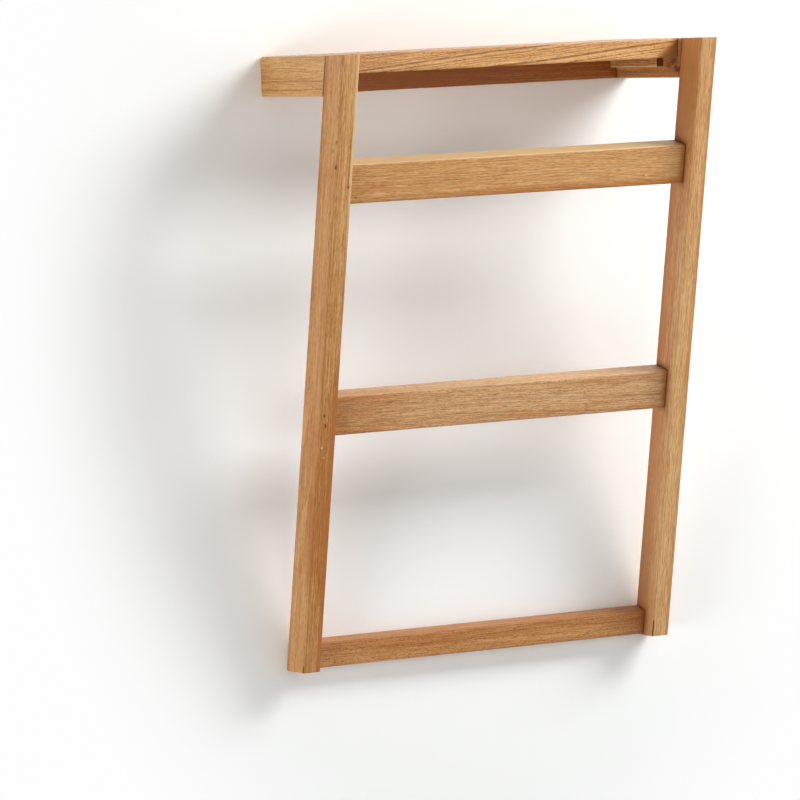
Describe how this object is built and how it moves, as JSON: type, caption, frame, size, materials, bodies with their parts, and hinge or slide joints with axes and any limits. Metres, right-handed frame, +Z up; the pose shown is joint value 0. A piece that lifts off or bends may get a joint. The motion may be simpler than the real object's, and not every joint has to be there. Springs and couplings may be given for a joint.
{
  "type": "wall towel rack",
  "caption": "Wall towel rack in solid teak: a leaning ladder frame with towel slats and a narrow slatted shelf on top, hung on hidden keyhole plates.",
  "frame": {"origin": "on the wall's face, midway between the two hanging holes of the hanger plates", "axes": "+X along the wall to the right of someone facing the rack, +Y into the wall, +Z up"},
  "size_m": [0.5, 0.21, 0.7249],
  "materials": {
    "teak_side_rail": "oiled",
    "teak_arm": "oiled",
    "teak_front_rail": "oiled",
    "teak_back_rail": "oiled",
    "teak_slat": "oiled",
    "teak_bottom_rail": "oiled",
    "teak_shelf": "oiled",
    "teak_cleat": "oiled",
    "dowel_beech": "raw",
    "screw_steel": "zinc plated",
    "hanger_steel": "zinc plated"
  },
  "bodies": {
    "root": {"left_side_rail": "teak_side_rail", "right_side_rail": "teak_side_rail", "left_arm": "teak_arm", "right_arm": "teak_arm", "back_rail": "teak_back_rail", "front_rail": "teak_front_rail", "upper_towel_slat": "teak_slat", "middle_towel_slat": "teak_slat", "bottom_rail": "teak_bottom_rail", "shelf_board_front": "teak_shelf", "shelf_board_middle": "teak_shelf", "shelf_board_rear": "teak_shelf", "left_cleat": "teak_cleat", "right_cleat": "teak_cleat", "left_arm_dowels": "dowel_beech", "right_arm_dowels": "dowel_beech", "back_rail_dowels": "dowel_beech", "front_rail_dowels": "dowel_beech", "upper_slat_dowels": "dowel_beech", "middle_slat_dowels": "dowel_beech", "bottom_rail_dowels": "dowel_beech", "left_cleat_screws": "screw_steel", "right_cleat_screws": "screw_steel", "left_shelf_screws": "screw_steel", "right_shelf_screws": "screw_steel", "left_hanger_screws": "screw_steel", "right_hanger_screws": "screw_steel", "left_hanger_plate": "hanger_steel", "right_hanger_plate": "hanger_steel"}
  },
  "joints": []
}
